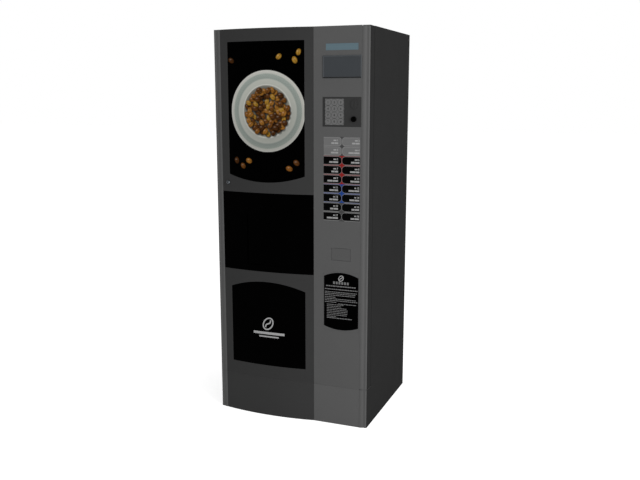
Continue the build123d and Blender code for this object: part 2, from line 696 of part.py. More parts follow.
right_side = side_panel()
parts = {
    "left_side_panel": mirrored(right_side),
    "right_side_panel": right_side,
    "back_panel": back_panel(),
    "top_panel": top_panel(),
    "base_tray": base_tray(),
    "levelling_feet": levelling_feet(),
    "kick_plate_left": kick_plate(-1),
    "kick_plate_right": kick_plate(1),
    "hinge_plates": hinge_plates(),
    "equipment_shelf": equipment_shelf(),
    "ingredient_canisters": ingredient_canisters(),
    "mixing_bowls": mixing_bowls(),
    "coffee_grinder": coffee_grinder(),
    "brew_unit": brew_unit(),
    "brew_piston": brew_piston(),
    "water_boiler": water_boiler(),
    "waste_bucket": waste_bucket(),
    "door_frame": door_frame(),
    "door_trims": door_trims(),
    "upper_fascia": upper_fascia(),
    "picture_panel": picture_panel(),
    "lower_fascia": lower_fascia(),
    "lower_panel": lower_panel(),
    "delivery_surround": delivery_surround(),
    "delivery_door": delivery_door(),
    "delivery_bay": delivery_bay(),
    "drip_grille": drip_grille(),
    "dispensing_spouts": dispensing_spouts(),
    "control_fascia": control_fascia(),
    "display_window": display_window(),
    "payment_cover": payment_cover(),
    "coin_plate": coin_plate(),
    "keypad_membrane": keypad_membrane(),
    "coin_return_button": coin_return_button(),
    "selection_bezel": selection_bezel(),
    "coin_return_flap": coin_return_flap(),
    "coin_return_cup": coin_return_cup(),
    "coin_mechanism": coin_mechanism(),
    "instruction_plate": instruction_plate(),
    "lock_barrel": lock_barrel(),
    "cup_turret": cup_turret(),
    "cup_stacks": cup_stacks(),
}
for row in range(KEY_ROWS):
    for side, name in enumerate(("left", "right")):
        parts[f"key_{name}_{row + 1}"] = selection_key(row, side)

os.makedirs("parts", exist_ok=True)
for node, shape in parts.items():
    export_step(shape, f"parts/{node}.step")
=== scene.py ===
import bmesh
import bpy
import math
import numpy as np
import random
from mathutils import Matrix, Vector


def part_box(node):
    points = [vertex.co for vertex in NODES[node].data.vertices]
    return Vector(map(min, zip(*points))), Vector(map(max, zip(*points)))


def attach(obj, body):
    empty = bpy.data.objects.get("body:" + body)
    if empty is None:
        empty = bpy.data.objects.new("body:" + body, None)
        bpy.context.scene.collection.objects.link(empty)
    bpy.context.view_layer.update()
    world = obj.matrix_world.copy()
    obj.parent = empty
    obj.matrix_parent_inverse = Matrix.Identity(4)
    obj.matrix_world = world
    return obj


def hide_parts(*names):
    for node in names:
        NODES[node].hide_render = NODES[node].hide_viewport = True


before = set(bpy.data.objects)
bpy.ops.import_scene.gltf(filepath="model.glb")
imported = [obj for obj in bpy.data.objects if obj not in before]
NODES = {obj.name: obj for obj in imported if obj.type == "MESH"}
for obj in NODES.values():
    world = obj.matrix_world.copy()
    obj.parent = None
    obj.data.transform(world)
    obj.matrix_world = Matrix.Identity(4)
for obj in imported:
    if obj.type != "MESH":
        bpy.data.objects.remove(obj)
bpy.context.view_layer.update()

scene = bpy.context.scene
MM = 0.001

# ------------------------------------------------------------
# Studio: a pale floor without an edge, a soft sky, one large soft lamp at the right and a small
# one that puts a glint on polished parts. The camera is at standing eye height.
scene.view_settings.view_transform = "Standard"

camera = bpy.data.objects.new("camera", bpy.data.cameras.new("camera"))
scene.collection.objects.link(camera)
scene.camera = camera
camera.location = (1.4396, -3.5684, 1.5317)
camera.rotation_euler = (math.radians(90 - 10.483), 0, math.radians(21.572))
camera.data.sensor_width = 36.0
camera.data.lens = 43.83


def linear(colour):
    """Linear RGBA of an sRGB hex colour."""
    parts = [int(colour[i:i + 2], 16) / 255 for i in (1, 3, 5)]
    return tuple(c / 12.92 if c <= 0.04045 else ((c + 0.055) / 1.055) ** 2.4 for c in parts) + (1,)


def add(tree, kind, inputs=None, **settings):
    """A new node with its settings, its values and its links."""
    made = tree.nodes.new(kind)
    for key, value in settings.items():
        setattr(made, key, value)
    for key, value in (inputs or {}).items():
        if isinstance(value, bpy.types.NodeSocket):
            tree.links.new(value, made.inputs[key])
        else:
            made.inputs[key].default_value = value
    return made


def new_material(name):
    """An empty node material and its tree."""
    material = bpy.data.materials.new(name)
    material.use_nodes = True
    material.node_tree.nodes.clear()
    return material, material.node_tree


def seen(tree):
    """1 for what the camera, a mirror or a pane shows, 0 for the light that falls on things."""
    rays = add(tree, "ShaderNodeLightPath")
    camera_or_mirror = {0: rays.outputs["Is Camera Ray"], 1: rays.outputs["Is Glossy Ray"]}
    either = add(tree, "ShaderNodeMath", camera_or_mirror, operation="MAXIMUM")
    return add(tree, "ShaderNodeMath", {0: either.outputs[0], 1: rays.outputs["Is Transmission Ray"]},
               operation="MAXIMUM").outputs[0]


world = bpy.data.worlds.new("soft_sky")
scene.world = world
world.use_nodes = True
sky = world.node_tree
sky.nodes.clear()
ambient = add(sky, "ShaderNodeBackground", {"Color": linear("#ffffff"), "Strength": 0.56})
backdrop = add(sky, "ShaderNodeBackground", {"Color": linear("#ffffff"), "Strength": 1.0})
mixed = add(sky, "ShaderNodeMixShader", {0: seen(sky), 1: ambient.outputs[0], 2: backdrop.outputs[0]})
add(sky, "ShaderNodeOutputWorld", {"Surface": mixed.outputs[0]})


def lamp(name, place, aim, size, power):
    """A square soft lamp that points at a place."""
    light = bpy.data.lights.new(name, "AREA")
    light.size = size
    light.energy = power
    holder = bpy.data.objects.new(name, light)
    scene.collection.objects.link(holder)
    holder.location = place
    holder.rotation_euler = (Vector(aim) - Vector(place)).to_track_quat("-Z", "Y").to_euler()


lamp("key_lamp", (4.3, -2.5, 2.2), (0, 0, 0.9), 2.2, 150)
lamp("glint_lamp", (3.4, -4.6, 4.4), (0, 0, 1.2), 0.5, 14)

floor_mesh = bpy.data.meshes.new("floor")
floor_mesh.from_pydata([(-30, -30, 0), (30, -30, 0), (30, 30, 0), (-30, 30, 0)], [], [(0, 1, 2, 3)])
floor = bpy.data.objects.new("floor", floor_mesh)
scene.collection.objects.link(floor)
floor_paint, tree = new_material("pale_floor")
dull = add(tree, "ShaderNodeBsdfDiffuse", {"Color": linear("#f2f2f2")})
white = add(tree, "ShaderNodeEmission", {"Color": linear("#ffffff"), "Strength": 0.62})
both = add(tree, "ShaderNodeAddShader", {0: dull.outputs[0], 1: white.outputs[0]})
lit = add(tree, "ShaderNodeMixShader", {0: seen(tree), 1: dull.outputs[0], 2: both.outputs[0]})
add(tree, "ShaderNodeOutputMaterial", {"Surface": lit.outputs[0]})
floor_mesh.materials.append(floor_paint)


# ------------------------------------------------------------
# Cabinet: sheet steel sides and roof, bent, spot-welded and powder coated dark grey. The coat's
# grit melts to a fine orange peel about 2 mm across, which breaks up the sheen.


def blend_tones(tree, share, first, second):
    """Colour socket between two hex colours, by a share socket."""
    made = add(tree, "ShaderNodeMix", {0: share}, data_type="RGBA")
    made.inputs[6].default_value = linear(first)
    made.inputs[7].default_value = linear(second)
    return made.outputs[2]


def spread(tree, share, ends):
    """Value socket between two values, by a share socket."""
    return add(tree, "ShaderNodeMapRange", {"Value": share, "To Min": ends[0], "To Max": ends[1]}).outputs[0]


def relief(tree, height, depth):
    """Normal socket of a relief whose depth is in millimetres."""
    bump = add(tree, "ShaderNodeBump", {"Height": height, "Distance": depth * MM, "Strength": 0.6})
    return bump.outputs[0]


def shaded(material, tree, inputs):
    """Ends a material's tree in one principled shader."""
    body = add(tree, "ShaderNodeBsdfPrincipled", inputs)
    add(tree, "ShaderNodeOutputMaterial", {"Surface": body.outputs[0]})
    return material


def coat(name, colour, shade, grain=2.0, bump=0.03, rough=(0.42, 0.5), patch=90.0, sheen=0.5):
    """Finish of two near tones in soft patches, with a fine relief. Sizes are in millimetres."""
    material, tree = new_material(name)
    place = add(tree, "ShaderNodeTexCoord").outputs["Object"]
    cloud = add(tree, "ShaderNodeTexNoise", {"Vector": place, "Scale": 1 / (patch * MM), "Detail": 3.0})
    fine = add(tree, "ShaderNodeTexNoise", {"Vector": place, "Scale": 1 / (grain * MM), "Detail": 2.0})
    return shaded(material, tree, {
        "Base Color": blend_tones(tree, cloud.outputs["Fac"], colour, shade),
        "Roughness": spread(tree, fine.outputs["Fac"], rough),
        "Normal": relief(tree, fine.outputs["Fac"], bump),
        "Specular IOR Level": sheen})


def dress(material, *names):
    """Gives CAD nodes a finish."""
    for name in names:
        NODES[name].data.materials.clear()
        NODES[name].data.materials.append(material)


# Powder coat is polyester: a satin sheen, weak on so dark a colour.
dark_coat = coat("dark_powder_coat", "#262626", "#292929", rough=(0.65, 0.75), sheen=0.004)
dress(dark_coat, "left_side_panel", "right_side_panel", "top_panel", "door_frame")

# ------------------------------------------------------------
# Rear sheet: galvanised steel, let in 2 mm between the sides and fixed all round by pan-head
# screws. The zinc froze in crystals 10 to 20 mm across that catch the light differently.


def plated(name, colour, shade, crystal=14.0, rough=(0.38, 0.5)):
    """Bare or plated metal. Its crystals differ in tone and dullness; their size is in millimetres."""
    material, tree = new_material(name)
    place = add(tree, "ShaderNodeTexCoord").outputs["Object"]
    cells = add(tree, "ShaderNodeTexVoronoi", {"Vector": place, "Scale": 1 / (crystal * MM)})
    return shaded(material, tree, {
        "Base Color": blend_tones(tree, cells.outputs["Color"], colour, shade),
        "Roughness": spread(tree, cells.outputs["Distance"], rough),
        "Metallic": 1.0})


zinc_sheet = plated("galvanised_sheet", "#7b7e80", "#979a9c")
dress(zinc_sheet, "back_panel", "base_tray", "equipment_shelf")


def new_tree(name, sizes):
    """Geometry Nodes tree with one named input for each size, and its ends."""
    tree = bpy.data.node_groups.new(name, "GeometryNodeTree")
    tree.interface.new_socket("Geometry", in_out="INPUT", socket_type="NodeSocketGeometry")
    for label, value in sizes.items():
        kind = {int: "NodeSocketInt", float: "NodeSocketFloat", tuple: "NodeSocketVector"}[type(value)]
        tree.interface.new_socket(label, in_out="INPUT", socket_type=kind).default_value = value
    tree.interface.new_socket("Geometry", in_out="OUTPUT", socket_type="NodeSocketGeometry")
    return tree, add(tree, "NodeGroupInput").outputs, add(tree, "NodeGroupOutput")


def on_points(tree, points, shape):
    """Geometry socket with a shape on each point."""
    made = add(tree, "GeometryNodeInstanceOnPoints", {"Points": points, "Instance": shape})
    return made.outputs[0]


def sunk_top(tree, solid, share, depth):
    """Geometry socket of a cylinder whose top has a round recess, as a share of its width."""
    rim = add(tree, "GeometryNodeExtrudeMesh", {
        "Mesh": solid.outputs[0], "Selection": solid.outputs["Top"], "Offset Scale": 0.0})
    top = rim.outputs["Top"]
    mouth = add(tree, "GeometryNodeScaleElements", {
        "Geometry": rim.outputs[0], "Selection": top, "Scale": share}, domain="FACE")
    made = add(tree, "GeometryNodeExtrudeMesh", {
        "Mesh": mouth.outputs[0], "Selection": top, "Offset Scale": depth})
    return made.outputs[0]


def screw_tree():
    """Round screw heads with a drive recess, one on each point. Sizes are in metres."""
    sizes = {"Radius": 0.004, "Height": 0.0018, "Facing": (-math.pi / 2, 0.0, 0.0)}
    tree, size, end = new_tree("screw_heads", sizes)
    head = add(tree, "GeometryNodeMeshCylinder", {
        "Vertices": 16, "Radius": size["Radius"], "Depth": size["Height"]})
    deep = add(tree, "ShaderNodeMath", {0: size["Height"], 1: -0.6}, operation="MULTIPLY")
    recess = sunk_top(tree, head, 0.45, deep.outputs[0])
    heads = on_points(tree, size["Geometry"], recess)
    facing = add(tree, "GeometryNodeRotateInstances", {"Instances": heads, "Rotation": size["Facing"]})
    return tree, facing.outputs[0], end


def evaluated(holder):
    """A plain mesh of what an object makes."""
    return bpy.data.meshes.new_from_object(holder.evaluated_get(bpy.context.evaluated_depsgraph_get()))


def grown(name, built, points, material, body, values=None, nodes=()):
    """Runs a tree on points in millimetres and keeps the result as a plain piece of a body."""
    tree, geometry, end = built
    real = add(tree, "GeometryNodeRealizeInstances", {0: geometry})
    painted = add(tree, "GeometryNodeSetMaterial", {"Geometry": real.outputs[0], "Material": material})
    tree.links.new(painted.outputs[0], end.inputs[0])
    seed = bpy.data.meshes.new(name)
    seed.from_pydata([tuple(c * MM for c in point) for point in points], [], [])
    holder = bpy.data.objects.new(name, seed)
    scene.collection.objects.link(holder)
    modifier = holder.modifiers.new("grow", "NODES")
    modifier.node_group = tree
    items = tree.interface.items_tree
    sockets = {item.name: item.identifier for item in items if item.in_out == "INPUT"}
    for label, value in (values or {}).items():
        modifier[sockets[label]] = value
    plain = evaluated(holder)
    holder.modifiers.clear()
    holder.data = plain
    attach(holder, body)
    if nodes:
        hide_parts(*nodes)
    return holder


# Zinc-plated screws: bright, a little blue.
screw_zinc = plated("zinc_plated_screw", "#8c9196", "#a4a9ad", crystal=3.0)
low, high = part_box("back_panel")
left, right = low.x / MM + 12, high.x / MM - 12
bottom, top = 34.0, high.z / MM - 14
LET_IN = 2.0
head_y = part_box("right_side_panel")[1].y / MM - LET_IN + 0.9
levels = [bottom + (top - bottom) * i / 9 for i in range(10)]
sides = [(x, head_y, z) for x in (left, right) for z in levels]
ends = [(left + (right - left) * i / 4, head_y, z) for z in (bottom, top) for i in range(1, 4)]
grown("back_screws", screw_tree(), sides + ends, screw_zinc, "cabinet")

# ------------------------------------------------------------
# Water inlet: a brass three-quarter inch nipple in the rear sheet, turned and left bare. Beside
# it is the nylon gland through which a mains lead would leave.


def placed(along, across, up, level):
    """A point given across an axis (y or z) and by its level along it."""
    return (across, level, up) if along == "y" else (across, up, level)


def prism(shape, outline, low, high, along="y", mark=0):
    """Adds a solid whose outline is drawn across an axis, between two places on that axis."""
    rings = [[shape.verts.new(placed(along, a, b, c)) for a, b in outline] for c in (low, high)]
    faces = [shape.faces.new(rings[0]), shape.faces.new(rings[1][::-1])]
    for i in range(len(outline)):
        j = (i + 1) % len(outline)
        faces.append(shape.faces.new((rings[0][j], rings[0][i], rings[1][i], rings[1][j])))
    for face in faces:
        face.material_index = mark


def circle(centre, radius, sides):
    """Points round a centre."""
    turns = [i * math.tau / sides for i in range(sides)]
    return [(centre[0] + radius * math.cos(t), centre[1] + radius * math.sin(t)) for t in turns]


def banded(shape, rings):
    """Adds the faces between each ring of corners and the next, and gives them back."""
    made = []
    for a, b in zip(rings, rings[1:]):
        for i in range(len(a)):
            j = (i + 1) % len(a)
            made.append(shape.faces.new((a[i], a[j], b[j], b[i])))
    return made


def turned(shape, centre, profile, along, sides):
    """Rings of corners for radius and level pairs round an axis."""
    return [[shape.verts.new(placed(along, a, b, level)) for a, b in circle(centre, radius, sides)]
            for radius, level in profile]


def tube(shape, centre, outer, inner, low, high, along="y", sides=32, mark=0):
    """Adds a plain tube whose axis runs along y or z."""
    corners = ((outer, low), (outer, high), (inner, high), (inner, low))
    rings = turned(shape, centre, corners, along, sides)
    for face in banded(shape, rings + rings[:1]):
        face.material_index = mark


def finish(name, shape, materials, body, nodes=(), crease=35):
    """Turns a shape in millimetres into a piece that rides a body, in place of any CAD nodes named."""
    bmesh.ops.recalc_face_normals(shape, faces=shape.faces)
    bmesh.ops.scale(shape, vec=(MM, MM, MM), verts=shape.verts)
    mesh = bpy.data.meshes.new(name)
    shape.to_mesh(mesh)
    shape.free()
    mesh.shade_smooth()
    mesh.set_sharp_from_angle(angle=math.radians(crease))
    for material in materials:
        mesh.materials.append(material)
    made = bpy.data.objects.new(name, mesh)
    scene.collection.objects.link(made)
    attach(made, body)
    if nodes:
        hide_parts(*nodes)
    return made


# Brass and moulded nylon.
brass = plated("turned_brass", "#b08d4a", "#c39f5c", crystal=2.0)
nylon = coat("black_nylon", "#151515", "#1b1b1b", grain=0.8, bump=0.02, sheen=0.3)
INLET = (250, 120)
GLAND = (310, 120)
inlet = bmesh.new()
tube(inlet, INLET, 15.5, 12.1, 311, 327.9)
for step in range(5):
    tube(inlet, INLET, 16.4, 15.4, 312 + 3 * step, 313.4 + 3 * step)
finish("inlet_nipple", inlet, [brass], "cabinet")
gland = bmesh.new()
tube(gland, GLAND, 10.9, 4.5, 324.2, 327.9)
finish("cable_gland", gland, [nylon], "cabinet")

# ------------------------------------------------------------
# Feet: moulded nylon pads on zinc-plated threaded stems, screwed up through the floor tray.
PAD_TOP = 9.1
dress(nylon, "levelling_feet")
NODES["levelling_feet"].data.materials.append(screw_zinc)
for face in NODES["levelling_feet"].data.polygons:
    if face.center.z > PAD_TOP * MM:
        face.material_index = 1

# ------------------------------------------------------------
# Plinth: two coated kick plates under the door, bowed at the left and flat at the right. Their
# ends are pressed to carry on the ribs of the door's edge trims. The lower pivot plate on top of
# them is coated after welding, as the trims are.
charcoal = coat("charcoal_powder_coat", "#343434", "#363636", sheen=0.04)
mid_grey = coat("grey_powder_coat", "#535353", "#565656", sheen=0.06)
trim_coat = coat("coated_aluminium", "#545454", "#585858", grain=1.2, sheen=0.06)
# The kick plates take lighter copies of the fascias' charcoal and grey coats: painted light that offsets the
# shade falling on them near the floor.
plinth_charcoal_painted_lighter = coat("plinth_charcoal_painted_lighter_coat", "#363636", "#383838", sheen=0.04)
plinth_grey_painted_lighter = coat("plinth_grey_painted_lighter_coat", "#575757", "#5a5a5a", sheen=0.06)
TRIM_X = 345.1


def dress_edges(name, paint):
    """A paint as far as the trim, the trim's coat beyond it and the dark coat on the flank."""
    dress(paint, name)
    for more in (trim_coat, dark_coat):
        NODES[name].data.materials.append(more)
    for face in NODES[name].data.polygons:
        if abs(face.center.x) > TRIM_X * MM:
            face.material_index = 2 if abs(face.normal.x) > 0.8 else 1


dress_edges("kick_plate_left", plinth_charcoal_painted_lighter)
dress_edges("kick_plate_right", plinth_grey_painted_lighter)
dress_edges("hinge_plates", trim_coat)

# ------------------------------------------------------------
# Inner frame: folded galvanised shelves, dressed above. Four powder canisters stand on the upper
# one: blown polypropylene, milky and waxy, with a snap-on lid and a worm outlet at the front.


def rounded(x, z, r):
    """Outline of a rectangle with round corners, each in four steps."""
    left, right, low, high = x[0] + r, x[1] - r, z[0] + r, z[1] - r
    outline = []
    for cx, cz, start in ((right, high, 0), (left, high, 90), (left, low, 180), (right, low, 270)):
        turns = [math.radians(start + 90 * i / 4) for i in range(5)]
        outline += [(cx + r * math.cos(t), cz + r * math.sin(t)) for t in turns]
    return outline


def lathe(shape, centre, profile, sides=40, along="z", mark=0):
    """Adds a turned solid: radius and level pairs round an axis, closed at both ends."""
    rings = turned(shape, centre, profile, along, sides)
    made = [shape.faces.new(rings[0]), shape.faces.new(rings[-1][::-1])] + banded(shape, rings)
    for face in made:
        face.material_index = mark


milky = coat("milky_polypropylene", "#c4c8ca", "#cfd2d4", grain=1.0, bump=0.02, rough=(0.3, 0.4), sheen=0.4)
lid_blue = coat("moulded_lid", "#3c4a55", "#42515c", grain=1.0, bump=0.02, rough=(0.35, 0.45), sheen=0.4)
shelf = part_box("ingredient_canisters")[0].z / MM
CANISTERS_X = (-300, -175, -50, 75)
canisters = bmesh.new()
for x in CANISTERS_X:
    prism(canisters, rounded((x - 52, x + 52), (70, 290), 10), shelf, 1478, "z")
    for band in (1215, 1300, 1385):
        prism(canisters, rounded((x - 53.2, x + 53.2), (68.8, 291.2), 11), band, band + 6, "z")
    prism(canisters, rounded((x - 56, x + 56), (66, 294), 12), 1479, 1491, "z", mark=1)
    prism(canisters, rounded((x - 12, x + 12), (120, 240), 6), 1490, 1494, "z", mark=1)
    lathe(canisters, (x, 1206), [(19, 69), (19, 44), (14, 40), (14, 36)], along="y", mark=1)
finish("powder_canisters", canisters, [milky, lid_blue], "cabinet",
       ["ingredient_canisters"])

# ------------------------------------------------------------
# Powder mixers: smoke-grey bowls moulded in polysulfone under the upper shelf, each with a
# whipper housing below and a spout that points at the door.
smoke = coat("smoke_polysulfone", "#3a3d40", "#43474a", grain=1.0, bump=0.01, rough=(0.18, 0.26), sheen=0.5)
bowl = [(12, 1070), (16, 1074), (20, 1092), (36, 1128), (37, 1166), (38, 1168), (38, 1176.9)]
bowls = bmesh.new()
for x in CANISTERS_X:
    lathe(bowls, (x, 80), bowl)
    lathe(bowls, (x, 80), [(22, 1071), (22, 1089)], sides=24)
    lathe(bowls, (x, 1085), [(7, 70), (7, 26), (8.2, 25), (8.2, 22)], sides=20, along="y")
finish("powder_mixers", bowls, [smoke], "cabinet", ["mixing_bowls"])

# ------------------------------------------------------------
# Coffee grinder: a black moulded motor housing under a smoked bean hopper, whose lid is loose.
black_abs = coat("black_abs", "#0e0e0e", "#131313", grain=0.8, bump=0.04, rough=(0.42, 0.52), sheen=0.25)
smoked = coat("smoked_polycarbonate", "#2a1d14", "#3a2819", grain=14.0, bump=0.0, rough=(0.12, 0.16),
              patch=16.0, sheen=0.5)


def box(x, z):
    """Outline of a plain rectangle."""
    return [(x[0], z[0]), (x[1], z[0]), (x[1], z[1]), (x[0], z[1])]


GRINDER = (250, 175)
grinder = bmesh.new()
lathe(grinder, GRINDER, [(58, 1180), (62, 1184), (62, 1322), (58, 1328)])
for x, y in circle(GRINDER, 61, 18):
    prism(grinder, box((x - 1.6, x + 1.6), (y - 1.6, y + 1.6)), 1200, 1290, "z")
lathe(grinder, GRINDER, [(50, 1327), (62, 1332), (99, 1505), (100, 1510)], mark=1)
lathe(grinder, GRINDER, [(103, 1510), (103, 1518), (98, 1522)])
lathe(grinder, GRINDER, [(12, 1513), (12, 1521.9)], sides=20)
finish("bean_grinder", grinder, [black_abs, smoked], "cabinet", ["coffee_grinder"])

# ------------------------------------------------------------
# Brewer: a block of glass-filled nylon with its infusion bore, and the piston that closes it.
# Two polished guide rods and four screws are added to it.
filled_nylon = coat("glass_filled_nylon", "#3b3d3f", "#454749", grain=0.6, bump=0.05, rough=(0.5, 0.6),
                    sheen=0.3)
dress(filled_nylon, "brew_unit")
acetal = coat("white_acetal", "#c9c8c2", "#d2d1cb", grain=1.0, bump=0.01, rough=(0.25, 0.32), sheen=0.5)
dress(acetal, "brew_piston")
bright_steel = plated("polished_rod", "#9c9fa2", "#b2b5b8", crystal=4.0)
rods = bmesh.new()
for x in (214, 286):
    lathe(rods, (x, 186), [(5, 880), (5, 1079)], sides=20)
    tube(rods, (x, 186), 9, 5, 880, 888, "z", sides=24)
finish("brewer_guide_rods", rods, [bright_steel], "cabinet")
faces = [(250 + dx, 89.2, z) for dx in (-58, 58) for z in (575, 865)]
grown("brewer_screws", screw_tree(), faces, screw_zinc, "cabinet",
      {"Radius": 0.005, "Facing": (math.pi / 2, 0.0, 0.0)})

# ------------------------------------------------------------
# Boiler: a steel tank in a black foam jacket, held by two zinc-plated straps, with a brass
# outlet on top.
foam = coat("black_foam_jacket", "#111112", "#1a1a1b", grain=3.0, bump=0.25, rough=(0.75, 0.9), sheen=0.1)
BOILER = (-240, 170)
boiler = bmesh.new()
lathe(boiler, BOILER, [(76, 560), (81, 563), (81, 816), (76, 822), (40, 848), (40, 850)], sides=56)
for level in (620, 752):
    tube(boiler, BOILER, 82, 80.5, level, level + 16, "z", sides=56, mark=1)
lathe(boiler, BOILER, [(14, 849), (14, 856), (9, 857), (9, 882), (7, 884)], sides=24, mark=2)
finish("jacketed_boiler", boiler, [foam, zinc_sheet, brass], "cabinet", ["water_boiler"])

# ------------------------------------------------------------
# Waste bucket: grey moulded polyethylene, open at the top, that stands on the floor tray.
grey_pe = coat("grey_polyethylene", "#6f757b", "#7a8086", grain=1.2, bump=0.03, rough=(0.4, 0.5), sheen=0.35)
dress(grey_pe, "waste_bucket")

# ------------------------------------------------------------
# Door frame: folded steel, coated as the cabinet. A black rubber seal is glued round its rear
# edge, and a rubber strip along its foot closes the gap over the kick plates.
rubber = coat("black_rubber", "#121212", "#181818", grain=1.5, bump=0.05, rough=(0.6, 0.75), sheen=0.15)
seal = bmesh.new()
for x, z in (((-372, -363), (205, 1815)), ((340, 349), (205, 1815)),
             ((-363, 340), (205, 214)), ((-363, 340), (1806, 1815))):
    prism(seal, rounded(x, z, 3), -245.9, -242.7)
finish("door_seal", seal, [rubber], "door")


BOW_MID = (-113.0, -328.0)
BOW_HALF = 232.0
BOW_RISE = 22.0
BOW_R = (BOW_HALF ** 2 + BOW_RISE ** 2) / (2 * BOW_RISE)


def bow(x, inset=0.0):
    """Depth of the bowed front at a place across it, in millimetres."""
    return BOW_MID[1] + BOW_R - math.sqrt((BOW_R - inset) ** 2 - (x - BOW_MID[0]) ** 2)


strip = bmesh.new()
spots = [-344 + 463 * i / 24 for i in range(25)]
front = [(x, bow(x, 0.4)) for x in spots]
back = [(x, bow(x, 5.0)) for x in spots[::-1]]
foot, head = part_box("kick_plate_left")[1].z / MM + 0.3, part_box("door_trims")[0].z / MM + 0.4
prism(strip, front + back, foot, head, "z")
prism(strip, rounded((119.5, 344.5), (-305.6, -301), 0.5), foot, head, "z", mark=1)
under_trim = [(-345.4, -305.0), (-352.5, -305.4), (-363, -301.6), (-376.5, -300.4), (-379.6, -296.5),
              (-379.6, -293.5), (-345.4, -293.5)]
prism(strip, under_trim, foot, head, "z", mark=1)
# Both rubbers are toned a little lighter than the coats beside them: painted light that offsets the shade in
# the strip's slight recess, so the seam shows no dark line.
charcoal_rubber_painted_lighter = coat("charcoal_rubber_painted_lighter", "#3a3a3a", "#3c3c3c", grain=1.5, bump=0.03, rough=(0.6, 0.7),
                       sheen=0.05)
grey_rubber_painted_lighter = coat("grey_rubber_painted_lighter", "#565656", "#585858", grain=1.5, bump=0.03, rough=(0.6, 0.7), sheen=0.05)
finish("door_foot_strip", strip, [charcoal_rubber_painted_lighter, grey_rubber_painted_lighter], "door")

# ------------------------------------------------------------
# Edge trims: aluminium extrusions with a bead, a groove and a rounded corner, coated mid grey and
# clipped over both sides of the door.
dress_edges("door_trims", trim_coat)

# ------------------------------------------------------------
# Left fascias: bowed sheet steel above and below the delivery panel, powder coated charcoal.
dress(charcoal, "upper_fascia", "lower_fascia")

# ------------------------------------------------------------
# Picture panel: a clear acrylic sheet, printed on its rear face in screen inks, that is slid
# behind the fascia. The design is a plain one: roasted coffee beans on a round stoneware plate.
PICTURE_X = (-304.0, 78.0)
PICTURE_Z = (1171.0, 1773.0)
PICTURE_DROP = 33.0


def sag(x):
    """Height of the picture's arched lower edge."""
    half = (PICTURE_X[1] - PICTURE_X[0]) / 2
    radius = (half ** 2 + PICTURE_DROP ** 2) / (2 * PICTURE_DROP)
    return PICTURE_Z[0] - PICTURE_DROP + radius - math.sqrt(radius ** 2 - (x - sum(PICTURE_X) / 2) ** 2)


def paint_over(canvas, where, colour):
    """Lays linear colours over the canvas, by a share from 0 to 1 at each point."""
    canvas[:] = canvas * (1 - where[:, None]) + colour * where[:, None]


def ramp(value, stops):
    """Linear colours read off a list of (value, hex colour) stops."""
    at = [stop[0] for stop in stops]
    tones = np.array([linear(stop[1])[:3] for stop in stops])
    return np.stack([np.interp(value, at, tones[:, i]) for i in range(3)], axis=1)


def lay_bean(canvas, x, z, centre, half, turn, tone):
    """One roasted bean, seen from above: a soft shadow, a domed body and a wavy crease."""
    dx, dz = x - centre[0], z - centre[1]
    u = (dx * math.cos(turn) + dz * math.sin(turn)) / half[0]
    v = (dz * math.cos(turn) - dx * math.sin(turn)) / half[1]
    reach = u * u + v * v
    shade = np.clip((1.75 - ((dx - 3) ** 2 + (dz + 4) ** 2) / (half[0] * half[1])) / 0.9, 0, 1) * 0.75
    paint_over(canvas, shade, np.zeros(3))
    dome = np.sqrt(np.clip(1 - reach, 0, 1))
    light = 0.30 + 0.62 * dome + 0.34 * np.clip((dz - dx) / 14, -0.8, 0.8) * (1 - dome)
    gloss = np.exp(-(((dx + 4) / 4.5) ** 2 + ((dz - 4.5) / 2.6) ** 2)) * 0.22
    crease = np.exp(-((v - 0.17 * np.sin(2.6 * u)) / 0.11) ** 2) * (np.abs(u) < 0.86)
    body = np.array(linear(tone)[:3]) * (light * (1 - 0.72 * crease))[:, None]
    body += gloss[:, None] * np.array([0.5, 0.46, 0.4])
    paint_over(canvas, np.clip((1.04 - reach) / 0.12, 0, 1), body)


def picture(x, z):
    """Linear colours of the printed picture at places across it, in millimetres."""
    draw = random.Random(11)
    canvas = np.zeros((len(x), 3))
    cx, cz, outer, well = -102.0, 1462.0, 184.0, 118.0
    r = np.hypot(x - cx, z - cz)
    turn = np.arctan2(z - cz, x - cx)
    stops = [(0, "#54534c"), (well - 14, "#6b6a62"), (well - 3, "#8b8a81"), (well, "#c6c6bf"),
             (well + 5, "#a9aba3"), (outer - 42, "#aeb0a8"), (outer - 36, "#8e9690"), (outer - 17, "#98a099"),
             (outer - 13, "#b5b5ae"), (outer - 4, "#b9b9b2"), (outer - 2, "#d0d0ca"), (outer, "#6c6d66")]
    lit = 0.88 + 0.17 * np.cos(turn - 2.2) * np.where(r > well, 1.0, -1.0)
    band = (r > outer - 37) * (r < outer - 16)
    fleck = 1 - 0.16 * band * ((np.sin(turn * 96) * np.sin((r - outer) * 0.62)) > 0.1)
    paint_over(canvas, np.clip(outer - r, 0, 1), ramp(r, stops) * (lit * fleck)[:, None])
    tones = ("#4a2c14", "#5b3718", "#6e441c", "#835321", "#99672a", "#a67c2e")
    spots = []
    for _ in range(2600):
        reach, angle = (well - 15) * math.sqrt(draw.random()), draw.random() * math.tau
        spot = (cx + reach * math.cos(angle), cz + reach * math.sin(angle))
        if all(math.dist(spot, other) > 16.5 for other in spots):
            spots.append(spot)
    loose = [(-262, 1236), (-228, 1212), (40, 1232), (6, 1205), (-284, 1690), (-40, 1704), (34, 1688),
             (52, 1722), (-196, 1236)]
    for spot in loose + spots:
        near = np.hypot(x - spot[0], z - spot[1]) < 30
        patch = canvas[near]
        half = (15.5 + draw.uniform(-1, 1.5), 11 + draw.uniform(-0.7, 0.9))
        lay_bean(patch, x[near], z[near], spot, half, draw.uniform(0, math.pi), draw.choice(tones))
        canvas[near] = patch
    return canvas


